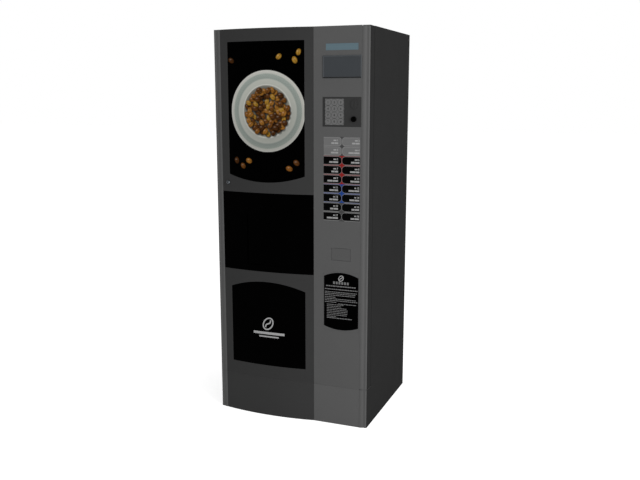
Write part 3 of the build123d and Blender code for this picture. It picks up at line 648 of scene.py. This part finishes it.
def printed_sheet(name, across, share, foot, head, inset, paint, material, body):
    """A thin bowed print: a closed skin, coloured point by point in its "print" attribute."""
    rows = len(share)
    front = [(x, bow(x, inset), foot(x) + t * (head - foot(x))) for x in across for t in share]
    rear = [(x, bow(x, inset + 0.2), z) for x in across for z in (foot(x), head)]
    start = len(front)
    faces = []
    for i in range(len(across) - 1):
        for j in range(rows - 1):
            a = i * rows + j
            faces.append((a, a + rows, a + rows + 1, a + 1))
        b = start + 2 * i
        faces.append((b, b + 1, b + 3, b + 2))
        faces.append((i * rows, b, b + 2, (i + 1) * rows))
        faces.append(((i + 1) * rows - 1, (i + 2) * rows - 1, b + 3, b + 1))
    last = len(across) - 1
    faces.append(tuple(range(rows)) + (start + 1, start))
    faces.append(tuple(last * rows + j for j in reversed(range(rows)))
                 + (start + 2 * last, start + 2 * last + 1))
    mesh = bpy.data.meshes.new(name)
    mesh.from_pydata([tuple(c * MM for c in point) for point in front + rear], [], faces)
    spots = np.array(front + rear)
    tones = np.ones((len(spots), 4), np.float32)
    tones[:, :3] = paint(spots[:, 0], spots[:, 2])
    mesh.attributes.new("print", "FLOAT_COLOR", "POINT").data.foreach_set("color", tones.ravel())
    shape = bmesh.new()
    shape.from_mesh(mesh)
    bmesh.ops.recalc_face_normals(shape, faces=shape.faces)
    shape.to_mesh(mesh)
    shape.free()
    mesh.materials.append(material)
    made = bpy.data.objects.new(name, mesh)
    scene.collection.objects.link(made)
    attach(made, body)
    return made


# The ink dots are too fine to see; a weak noise stands for the acrylic's slight waviness.
black_acrylic = coat("black_backed_acrylic", "#000000", "#010101", grain=40.0, bump=0.05, rough=(0.07, 0.1),
                     sheen=0.005)
dress(black_acrylic, "picture_panel")
printed_acrylic, tree = new_material("printed_acrylic")
ink = add(tree, "ShaderNodeAttribute", attribute_name="print")
place = add(tree, "ShaderNodeTexCoord").outputs["Object"]
wave = add(tree, "ShaderNodeTexNoise", {"Vector": place, "Scale": 1 / (40 * MM)})
shaded(printed_acrylic, tree, {
    "Base Color": ink.outputs["Color"],
    "Roughness": spread(tree, wave.outputs["Fac"], (0.07, 0.1)),
    "Normal": relief(tree, wave.outputs["Fac"], 0.05),
    "Specular IOR Level": 0.005})
EDGE = 0.6
width = PICTURE_X[1] - PICTURE_X[0] - 2 * EDGE
across = [PICTURE_X[0] + EDGE + width * i / 190 for i in range(191)]
share = [j / 300 for j in range(301)]
printed_sheet("picture_print", across, share, lambda x: sag(x) + EDGE, PICTURE_Z[1] - EDGE, 0.19,
              picture, printed_acrylic, "door")

# ------------------------------------------------------------
# Cam lock at the left of the upper fascia: a die-cast barrel plated in dark chrome, with a
# domed cap over its face. Dark plating mirrors the room weakly and keeps only a sharp glint.
dark_chrome = plated("dark_chrome_plate", "#3e4144", "#46494c", crystal=3.0, rough=(0.12, 0.16))
dress(dark_chrome, "lock_barrel")
LOCK = (-314, 1130)
DOME_R = 11.0
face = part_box("lock_barrel")[0].y / MM
cap = bmesh.new()
turns = [math.radians(degrees) for degrees in range(61, 0, -6)]
dome = [(DOME_R * math.sin(t), face + 5.3 - DOME_R * math.cos(t)) for t in turns]
lathe(cap, LOCK, dome, sides=36, along="y")
keyway = rounded((LOCK[0] - 1.2, LOCK[0] + 1.2), (LOCK[1] - 4, LOCK[1] + 4), 0.8)
prism(cap, keyway, face - 5.85, face - 4.0, mark=1)
finish("lock_cap", cap, [dark_chrome, black_abs], "lock")

# ------------------------------------------------------------
# Lower panel: the same black-backed acrylic, with a small plain bean printed in pale grey over
# two bars that stand where a name would be.


def stroke(shape, path, width, surface, closed=False, mark=0):
    """Adds a ribbon of ink, 0.15 mm thick, along a path on a face: a depth, or a depth by place across."""
    count = len(path)
    rows = []
    for i, (x, z) in enumerate(path):
        before = path[i - 1] if closed or i else path[0]
        after = path[(i + 1) % count] if closed or i < count - 1 else path[-1]
        run = math.dist(before, after)
        nx, nz = (before[1] - after[1]) / run * width / 2, (after[0] - before[0]) / run * width / 2
        row = []
        for side, proud in ((1, 0.17), (-1, 0.17), (-1, 0.02), (1, 0.02)):
            a = x + side * nx
            depth = surface(a) if callable(surface) else surface
            row.append(shape.verts.new((a, depth - proud, z + side * nz)))
        rows.append(row)
    made = []
    for i in range(count if closed else count - 1):
        a, b = rows[i], rows[(i + 1) % count]
        made += [shape.faces.new((a[k], a[(k + 1) % 4], b[(k + 1) % 4], b[k])) for k in range(4)]
    if not closed:
        made += [shape.faces.new(rows[0]), shape.faces.new(rows[-1][::-1])]
    for face in made:
        face.material_index = mark


def bean_mark(shape, x, z, size, width, surface, mark=0):
    """A plain coffee bean in outline: a tilted oval and a wavy crease."""
    lean = Matrix.Rotation(math.radians(-35), 2)
    oval = [(a * 0.36, b * 0.5) for a, b in circle((0, 0), size, 40)]
    wave = [(size * 0.08 * math.sin(math.pi * (i / 8 - 1)), size * 0.36 * (i / 8 - 1)) for i in range(17)]
    for points, closed in ((oval, True), (wave, False)):
        path = [tuple(Vector((x, z)) + lean @ Vector(point)) for point in points]
        stroke(shape, path, width, surface, closed, mark)


def bar(shape, x, z, height, surface):
    """Adds a level bar of ink between two places across."""
    steps = max(1, int((x[1] - x[0]) / 12))
    path = [(x[0] + (x[1] - x[0]) * i / steps, z) for i in range(steps + 1)]
    stroke(shape, path, height, surface)


def screen_ink(name, colour, shade):
    """Screen ink: a thin, even and almost matt film."""
    return coat(name, colour, shade, grain=0.6, bump=0.01, rough=(0.42, 0.52), sheen=0.05)


def lower_face(x):
    """Depth of the lower panel's face at a place across it."""
    return bow(x, 0.4)


dress(black_acrylic, "lower_panel")
pale_ink = screen_ink("pale_screen_ink", "#9c9c9c", "#a4a4a4")
mark = bmesh.new()
bean_mark(mark, -108, 462, 62, 6.4, lower_face)
bar(mark, (-186, -24), 415, 12.0, lower_face)
bar(mark, (-156, -54), 398, 7.0, lower_face)
finish("lower_panel_print", mark, [pale_ink], "door")

# ------------------------------------------------------------
# Delivery bay: a gloss black acrylic panel and, behind it, a leaf of the same sheet that slides
# up. The box is moulded in black ABS, with a stainless cup stand over its sump.
dress(black_acrylic, "delivery_surround", "delivery_door")
dress(black_abs, "delivery_bay", "dispensing_spouts", "coin_return_cup")


def brushed(name, colour, shade):
    """Brushed stainless steel. The brush marks run front to back, half a millimetre apart."""
    material, tree = new_material(name)
    place = add(tree, "ShaderNodeTexCoord").outputs["Object"]
    drawn = add(tree, "ShaderNodeMapping", {"Vector": place, "Scale": (1.0, 0.02, 1.0)})
    marks = add(tree, "ShaderNodeTexNoise", {
        "Vector": drawn.outputs[0], "Scale": 1 / (0.5 * MM), "Detail": 3.0})
    return shaded(material, tree, {
        "Base Color": blend_tones(tree, marks.outputs["Fac"], colour, shade),
        "Roughness": spread(tree, marks.outputs["Fac"], (0.22, 0.4)),
        "Metallic": 1.0, "Anisotropic": 0.4})


stainless = brushed("brushed_stainless", "#9a9b9c", "#b4b5b6")
dress(stainless, "drip_grille")
nozzles = bmesh.new()
for x in (-139, -113, -87):
    tube(nozzles, (x, -235), 5.0, 3.4, 952.6, 958.5, "z", sides=24)
finish("nozzle_tips", nozzles, [stainless], "door")

# ------------------------------------------------------------
# Cup carousel: a white acetal turret with six stacks of plain cream paper cups. Nested cups
# show their rolled lips one above the other.
dress(acetal, "cup_turret")


def cup_tree():
    """Stacks of nested cups on a ring round each point. Sizes are in metres."""
    sizes = {"Ring radius": 0.076, "Lip radius": 0.035, "Pitch": 0.0112, "Stacks": 6, "Cups": 35}
    tree, size, end = new_tree("cup_stacks", sizes)
    ring = add(tree, "GeometryNodeMeshCircle", {"Vertices": size["Stacks"], "Radius": size["Ring radius"]})
    feet = add(tree, "GeometryNodeRealizeInstances", {0: on_points(tree, size["Geometry"], ring.outputs[0])})
    rise = add(tree, "ShaderNodeCombineXYZ", {"Z": size["Pitch"]})
    column = add(tree, "GeometryNodeMeshLine", {"Count": size["Cups"], "Offset": rise.outputs[0]})
    columns = on_points(tree, feet.outputs[0], column.outputs[0])
    places = add(tree, "GeometryNodeRealizeInstances", {0: columns})
    lip = add(tree, "GeometryNodeMeshCylinder", {
        "Vertices": 28, "Radius": size["Lip radius"], "Depth": 0.003})
    under = add(tree, "ShaderNodeMath", {0: size["Lip radius"], 1: 0.0012}, operation="SUBTRACT")
    lower = add(tree, "ShaderNodeMath", {0: size["Lip radius"], 1: 0.0021}, operation="SUBTRACT")
    wall = add(tree, "GeometryNodeMeshCone", {
        "Vertices": 28, "Radius Top": under.outputs[0], "Radius Bottom": lower.outputs[0],
        "Depth": size["Pitch"]})
    sunk = add(tree, "GeometryNodeTransform", {"Geometry": wall.outputs[0], "Translation": (0, 0, -0.0122)})
    cup = add(tree, "GeometryNodeJoinGeometry")
    tree.links.new(sunk.outputs[0], cup.inputs[0])
    tree.links.new(sunk_top(tree, lip, 0.93, -0.009), cup.inputs[0])
    sway = add(tree, "FunctionNodeRandomValue", {
        "Min": (-0.0003, -0.0003, 0.0), "Max": (0.0003, 0.0003, 0.0), "Seed": 5}, data_type="FLOAT_VECTOR")
    loose = add(tree, "GeometryNodeSetPosition", {"Geometry": places.outputs[0], "Offset": sway.outputs[0]})
    return tree, on_points(tree, loose.outputs[0], cup.outputs[0]), end


paper = coat("plain_cup_paper", "#cfc6b2", "#d8cfbc", grain=0.8, bump=0.03, rough=(0.6, 0.72), sheen=0.2)
CAROUSEL = (-113, -190)
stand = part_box("cup_stacks")[0].z / MM + 13.6
grown("nested_cups", cup_tree(), [(*CAROUSEL, stand)], paper, "carousel", nodes=["cup_stacks"])

# ------------------------------------------------------------
# Control column: flat sheet steel, powder coated mid grey, with cut-outs for its modules. The
# coin-return flap is moulded in ABS to the same grey, and the coin gear hangs behind.
dress(mid_grey, "control_fascia")
grey_abs = coat("grey_abs", "#505050", "#545454", grain=0.8, bump=0.02, rough=(0.45, 0.55), sheen=0.06)
dress(grey_abs, "coin_return_flap")
charcoal_abs = coat("charcoal_abs", "#303030", "#343434", grain=0.8, bump=0.02, rough=(0.45, 0.55),
                    sheen=0.05)
dress(charcoal_abs, "coin_mechanism", "coin_plate")

# ------------------------------------------------------------
# Display: a slate-blue acrylic window over a character display. Its cells are set 7.2 by 11 mm
# apart and hardly show while it is off.
CELL = (0.0072, 0.0110)
CELL_GAP = 0.0007
slate, tree = new_material("slate_display_window")
place = add(tree, "ShaderNodeTexCoord").outputs["Object"]
upright = add(tree, "ShaderNodeMapping", {
    "Vector": place, "Location": (-0.1805, 1.7305, 0.0), "Rotation": (math.radians(90), 0, 0)})
cells = add(tree, "ShaderNodeTexBrick", {
    "Vector": upright.outputs[0], "Scale": 1.0, "Brick Width": CELL[0], "Row Height": CELL[1],
    "Mortar Size": CELL_GAP, "Mortar Smooth": 0.2, "Color1": linear("#5a6c74"),
    "Color2": linear("#5b6d75"), "Mortar": linear("#5e7078")}, offset=0.0)
shaded(slate, tree, {"Base Color": cells.outputs["Color"], "Roughness": 0.18, "Specular IOR Level": 0.03})
dress(slate, "display_window")

# ------------------------------------------------------------
# Payment cover: a blank plate moulded in blue-grey ABS where a card reader would go, with a
# raised border toned lighter than the plate, a painted highlight, and a dark rubber strip along its
# foot that stands for the shadow under its lower edge, a painted shadow.
cover_abs = coat("blue_grey_abs", "#3d4043", "#3e4144", grain=0.8, bump=0.02, rough=(0.45, 0.55),
                 sheen=0.02)
cover_edge_painted_highlight = coat("blue_grey_abs_edge_painted_highlight", "#45484b", "#484b4e", grain=0.8, bump=0.02, rough=(0.4, 0.5),
                  sheen=0.06)
low, high = (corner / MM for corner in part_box("payment_cover"))
cover = bmesh.new()
rings = []
# The border's rings take the lighter edge tone, a painted highlight; the inner face takes the plate's own
# tone.
for inset, y in ((0.0, high.y), (0.0, low.y + 1.0), (1.2, low.y), (4.6, low.y), (5.6, low.y + 0.8)):
    outline = rounded((low.x + inset, high.x - inset), (low.z + inset, high.z - inset), 2.0)
    rings.append([cover.verts.new((x, y, z)) for x, z in outline])
banded(cover, rings)
cover.faces.new(rings[0])
cover.faces.new(rings[-1]).material_index = 1
# The dark strip along the foot is a painted shadow under the plate's lower edge.
lip = rounded((low.x + 1.5, high.x - 1.5), (low.z + 0.6, low.z + 5.0), 1.0)
prism(cover, lip, low.y + 1.0, low.y - 0.15, mark=2)
finish("payment_cover_plate", cover, [cover_edge_painted_highlight, cover_abs, rubber], "door",
       ["payment_cover"], crease=25)

# ------------------------------------------------------------
# Coin plate: charcoal ABS with a raised coin entry, whose shutter sits just inside the slot, and
# a polished black push button.
SLOT_X, SLOT_Z = (308.1, 311.9), (1479.9, 1510.1)
shutter = bmesh.new()
plate_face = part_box("coin_plate")[0].y / MM
prism(shutter, rounded(SLOT_X, SLOT_Z, 0.5), plate_face + 1.2, plate_face + 3.0)
finish("coin_entry_shutter", shutter, [charcoal_abs], "door")
polished_black = coat("polished_black_abs", "#000000", "#010101", grain=30.0, bump=0.0, rough=(0.05, 0.07),
                      sheen=0.01)
dress(polished_black, "coin_return_button")

# ------------------------------------------------------------
# Keypad: one sheet of embossed polyester over twelve domes. It is printed with a darker ring round
# each dome, plain digits, and a dark border along both sides.


def figures(shape, text, height, x, z, front, mark=0, align="CENTER"):
    """Adds plain figures as thin as ink, with the middle or the end of their foot at a place."""
    curve = bpy.data.curves.new("figures", "FONT")
    curve.body = text
    curve.size = height / 0.7
    curve.align_x = align
    curve.extrude = 0.08
    curve.offset = 0.5
    curve.resolution_u = 3
    holder = bpy.data.objects.new("figures", curve)
    scene.collection.objects.link(holder)
    drawn = evaluated(holder)
    drawn.transform(Matrix.Translation((x, front - 0.1, z)) @ Matrix.Rotation(math.radians(90), 4, "X"))
    first = len(shape.faces)
    shape.from_mesh(drawn)
    shape.faces.ensure_lookup_table()
    for face in shape.faces[first:]:
        face.material_index = mark
    bpy.data.objects.remove(holder)
    bpy.data.curves.remove(curve)
    bpy.data.meshes.remove(drawn)


polyester = coat("embossed_polyester", "#636363", "#696969", grain=1.0, bump=0.04, rough=(0.4, 0.5),
                 sheen=0.08)
dress(polyester, "keypad_membrane")
ring_ink = screen_ink("ring_screen_ink", "#555555", "#595959")
digit_ink = screen_ink("digit_screen_ink", "#3c3c3c", "#404040")
border_ink = screen_ink("border_screen_ink", "#323232", "#363636")
PAD_PITCH = (30, 28)
RING_R = 13.6
BORDER = 2.2
low, high = (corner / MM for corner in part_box("keypad_membrane"))
middle = (low + high) / 2
base_face = low.y + 0.6
print_shape = bmesh.new()
for index, digit in enumerate("123456789*0#"):
    x = middle.x + PAD_PITCH[0] * (index % 3 - 1)
    z = middle.z + PAD_PITCH[1] * (1.5 - index // 3)
    stroke(print_shape, circle((x, z), RING_R, 32), 3.0, base_face, closed=True)
    figures(print_shape, digit, 9.0, x, z - 4.5, low.y, mark=1)
for x in (low.x, high.x - BORDER):
    prism(print_shape, box((x, x + BORDER), (low.z, high.z)), base_face - 0.02, base_face - 0.15, mark=2)
finish("keypad_print", print_shape, [ring_ink, digit_ink, border_ink], "door")

# ------------------------------------------------------------
# Selection block: a grey plate with eighteen apertures, printed with thin tinted rules between
# the rows and a four-pointed star where four keys meet. Each tint marks a group of drinks.
bezel_abs = coat("printed_bezel", "#6a6a6a", "#6e6e6e", grain=0.8, bump=0.02, rough=(0.42, 0.52), sheen=0.06)
dress(bezel_abs, "selection_bezel")
groups = ("grey",) * 2 + ("red",) * 3 + ("blue",) * 2 + ("grey",) * 2
tints = {"grey": ("#666666", "#424242"), "red": ("#7a5a5a", "#7e1f1e"), "blue": ("#5c6280", "#1e3d7d")}
inks = []
for label, (rule, star) in tints.items():
    inks += [screen_ink(label + "_rule_ink", rule, rule), screen_ink(label + "_star_ink", star, star)]
order = list(tints)
BEZEL_LIP = 4.0
RULES_X = ((167.5, 240.0), (268.0, 340.0))
NECK_X = 254.0
STAR_HALF = 14.0
CORNER_R = 16.2
low, high = (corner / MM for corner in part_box("selection_bezel"))
top = high.z - BEZEL_LIP
pitch = (top - low.z - BEZEL_LIP) / len(groups)
ink_foot = low.y - 0.02


def star_arm(edge, side, rise):
    """Outline of half a star: a spike between the round corners of two keys."""
    steps = [i / 2 - STAR_HALF for i in range(57)]
    reach = [CORNER_R - max(0.8, abs(step)) for step in steps]
    arc = [edge + side * (rise - math.sqrt(CORNER_R ** 2 - far ** 2)) for far in reach]
    spike = [(NECK_X + step, z) for step, z in zip(steps, arc)]
    return [(NECK_X - STAR_HALF, edge)] + spike + [(NECK_X + STAR_HALF, edge)]


rules = bmesh.new()
for row, group in enumerate(groups):
    rule, star = 2 * order.index(group), 2 * order.index(group) + 1
    head, foot = top - pitch * row, top - pitch * (row + 1)
    for edge, side, inside in ((head, -1, row > 0), (foot, 1, row < len(groups) - 1)):
        if inside:
            level = sorted((edge + side * 0.05, edge + side * 2.45))
            for x in RULES_X:
                prism(rules, box(x, level), ink_foot, ink_foot - 0.13, mark=rule)
        star_rise = 16.0 if row < 2 else 18.5
        prism(rules, star_arm(edge, side, star_rise), ink_foot, ink_foot - 0.15, mark=star)
    prism(rules, box((NECK_X - 1.8, NECK_X + 1.8), (foot, head)), ink_foot, ink_foot - 0.11, mark=rule)
finish("selection_rules", rules, inks, "door")

# ------------------------------------------------------------
# Keys: two columns of nine moulded push keys, grey in the first two rows and black below. Each
# carries its number and plain bars where a drink's name would be. The grey ones carry a pale line
# just inside their edge, a painted highlight where the light catches the rim.
key_grey = coat("grey_key_abs", "#676767", "#6b6b6b", grain=0.8, bump=0.02, rough=(0.4, 0.5), sheen=0.06)
key_black = coat("black_key_abs", "#000000", "#020202", grain=0.8, bump=0.01, rough=(0.25, 0.32), sheen=0.02)
# The pale rim ink is a painted highlight on the grey keys' edges.
rim_highlight_ink = screen_ink("key_rim_highlight_ink", "#808080", "#848484")
key_ink = screen_ink("key_screen_ink", "#909090", "#989898")
KEY_COLLAR = 1.4
KEY_END_R = 14
RIM_R = 12.8
TEXT_END = {"left": 236.5, "right": 337.0}


def key_rim(low, high, side):
    """Path of the pale rim, a painted highlight just inside a key's edge: open at the outer end, round at the
    inner one.
    """
    outer, inner, out = (low.x, high.x, 1) if side == "left" else (high.x, low.x, -1)
    outer, inner = outer + out * (KEY_COLLAR + 1), inner - out * (KEY_COLLAR + KEY_END_R)
    round_end = []
    for i in range(17):
        turn = math.radians(90 - 180 * i / 16)
        level = (low.z + high.z) / 2 + (5 if turn > 0 else -5) + RIM_R * math.sin(turn)
        round_end.append((inner + out * RIM_R * math.cos(turn), level))
    return [(outer, round_end[0][1])] + round_end + [(outer, round_end[-1][1])]


draw = random.Random(4)
for row in range(1, 10):
    for column, side in enumerate(("left", "right")):
        name = f"key_{side}_{row}"
        plastic, slot = (key_grey, "key_grey") if row < 3 else (key_black, "key_black")
        dress(plastic, name)
        low, high = (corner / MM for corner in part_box(name))
        middle, end = (low.z + high.z) / 2, TEXT_END[side]
        legend = bmesh.new()
        number = str(2 * row - 1 + column)
        figures(legend, number, 8.5, end, middle + 1.6, low.y, align="RIGHT")
        bar(legend, (end - 22, end - 2.0 - 6.6 * len(number)), middle + 5.2, 6.2, low.y)
        for _ in range(2):
            length = draw.uniform(13, 27)
            bar(legend, (end - length, end), middle - 7.0, 7.6, low.y)
            end -= length + 1.6
        # The grey keys get a pale line inside their edge: a painted highlight.
        if row < 3:
            stroke(legend, key_rim(low, high, side), 1.8, low.y, mark=1)
        finish(name + "_legend", legend, [key_ink, rim_highlight_ink], name)

# ------------------------------------------------------------
# Instruction label: a black-backed acrylic plate. Broken dim bars stand where the lines of
# directions would be, under the same plain bean and a row of blocks in place of a title.
dress(black_acrylic, "instruction_plate")
dim_ink = screen_ink("dim_screen_ink", "#6a6a6a", "#727272")
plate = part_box("instruction_plate")[0] / MM
directions = bmesh.new()
bean_mark(directions, plate.x + 83, 710, 28, 3.6, plate.y, mark=1)
for block in range(6):
    start = plate.x + 44.5 + 13.4 * block
    bar(directions, (start, start + 9), 688, 12, plate.y)
draw = random.Random(9)
# Each line: its level, where it starts and stops from the plate's left edge, and its height.
lines = [(672, 10, 154, 5.0), (657, 4, 163, 4.0), (644, 4, 160, 3.2), (636.5, 4, 158, 3.2),
         (628.5, 4, 150, 3.2), (619.5, 4, 60, 3.2), (611.5, 4, 155, 3.2), (603.5, 4, 163, 3.2),
         (595.5, 4, 60, 3.2), (589.5, 70, 156, 3.2)]
lines += [(584 - 8.1 * i, 14, end, 3.0) for i, end in enumerate((96, 84, 116, 116, 116, 118, 116, 62))]
lines += [(520.5, 14, 141, 3.8)]
for z, start, stop, height in lines:
    while start < stop - 4:
        length = min(draw.uniform(5, 16), stop - start)
        bar(directions, (plate.x + start, plate.x + start + length), z, height, plate.y)
        start += length + 1.8
finish("label_print", directions, [dim_ink, pale_ink], "door")
